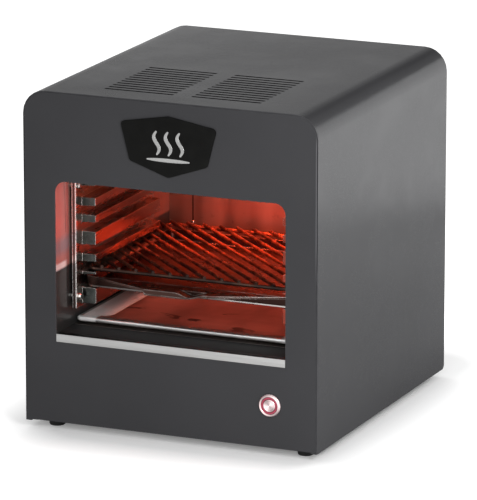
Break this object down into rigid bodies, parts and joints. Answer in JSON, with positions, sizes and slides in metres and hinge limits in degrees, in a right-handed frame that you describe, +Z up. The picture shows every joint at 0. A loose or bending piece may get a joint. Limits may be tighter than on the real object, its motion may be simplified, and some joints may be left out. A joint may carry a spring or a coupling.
{
  "type": "open-front electric grill",
  "caption": "Countertop electric grill: a folded steel housing round an open-front stainless cavity with side racks, a sliding grate, juice pan and drip tray, and a push button.",
  "frame": {"origin": "on the ground, under the centre of the bounding box", "axes": "+X to the grill's right as seen from the front, +Y to its rear, +Z up; the open front faces -Y"},
  "size_m": [0.33, 0.365, 0.3642],
  "materials": {
    "satin_paint": "satin dark grey powder coat",
    "sill_paint": "satin black paint",
    "brushed_steel": "brushed stainless",
    "polished_steel": "polished stainless",
    "aluminised_steel": "aluminised, dull",
    "element_sheath": "glowing heater sheath",
    "ceramic": "matt",
    "mineral_wool": "fibrous",
    "badge_black": "satin black",
    "button_chrome": "polished",
    "ring_lens": "clear red lens",
    "black_rubber": "matt",
    "black_plastic": "matt",
    "white_plastic": "matt",
    "zinc_steel": "zinc plated",
    "lead_sleeve": "heat-proof sleeve"
  },
  "bodies": {
    "housing": {"badge_plate": "badge_black", "base_plate": "satin_paint", "button_bezel": "button_chrome", "button_nut": "zinc_steel", "button_ring": "ring_lens", "cable_gland": "black_plastic", "element_bushing_left": "ceramic", "element_bushing_right": "ceramic", "foot_front_left": "black_rubber", "foot_front_right": "black_rubber", "foot_rear_left": "black_rubber", "foot_rear_right": "black_rubber", "foot_screw_front_left": "zinc_steel", "foot_screw_front_right": "zinc_steel", "foot_screw_rear_left": "zinc_steel", "foot_screw_rear_right": "zinc_steel", "front_panel": "satin_paint", "gland_nut": "black_plastic", "heat_shield": "aluminised_steel", "heater_bracket_1": "aluminised_steel", "heater_bracket_2": "aluminised_steel", "heater_reflector": "aluminised_steel", "heating_element": "element_sheath", "insulation_left": "mineral_wool", "insulation_right": "mineral_wool", "insulation_top": "mineral_wool", "lead_element_left": "lead_sleeve", "lead_element_right": "lead_sleeve", "lead_switch": "lead_sleeve", "liner_back": "polished_steel", "liner_floor": "polished_steel", "liner_left": "polished_steel", "liner_right": "polished_steel", "outer_housing": "satin_paint", "rack_left": "polished_steel", "rack_right": "polished_steel", "rack_stud_left_1": "polished_steel", "rack_stud_left_2": "polished_steel", "rack_stud_left_3": "polished_steel", "rack_stud_left_4": "polished_steel", "rack_stud_right_1": "polished_steel", "rack_stud_right_2": "polished_steel", "rack_stud_right_3": "polished_steel", "rack_stud_right_4": "polished_steel", "rear_panel": "satin_paint", "rear_screw_1": "zinc_steel", "rear_screw_2": "zinc_steel", "rear_screw_3": "zinc_steel", "rear_screw_4": "zinc_steel", "rear_screw_5": "zinc_steel", "rear_screw_6": "zinc_steel", "sill_plate": "sill_paint", "sill_strip": "brushed_steel", "switch_body": "black_plastic", "terminal_block": "white_plastic", "thermal_cutout": "ceramic"},
    "grate": {"grill_grate": "polished_steel"},
    "juice_pan": {"juice_pan": "polished_steel"},
    "drip_tray": {"drip_tray": "polished_steel"},
    "button": {"button_cap": "button_chrome"}
  },
  "joints": [
    {"name": "grate_slide", "type": "slide", "parent": "housing", "child": "grate", "axis": [0, -1, 0], "range_m": [0, 0.205]},
    {"name": "juice_pan_slide", "type": "slide", "parent": "housing", "child": "juice_pan", "axis": [0, -1, 0], "range_m": [0, 0.21]},
    {"name": "drip_tray_slide", "type": "slide", "parent": "housing", "child": "drip_tray", "axis": [0, -1, 0], "range_m": [0, 0.23]},
    {"name": "button_press", "type": "slide", "parent": "housing", "child": "button", "axis": [0, 1, 0], "range_m": [0, 0.002], "stiffness_N_per_m": 1500}
  ]
}
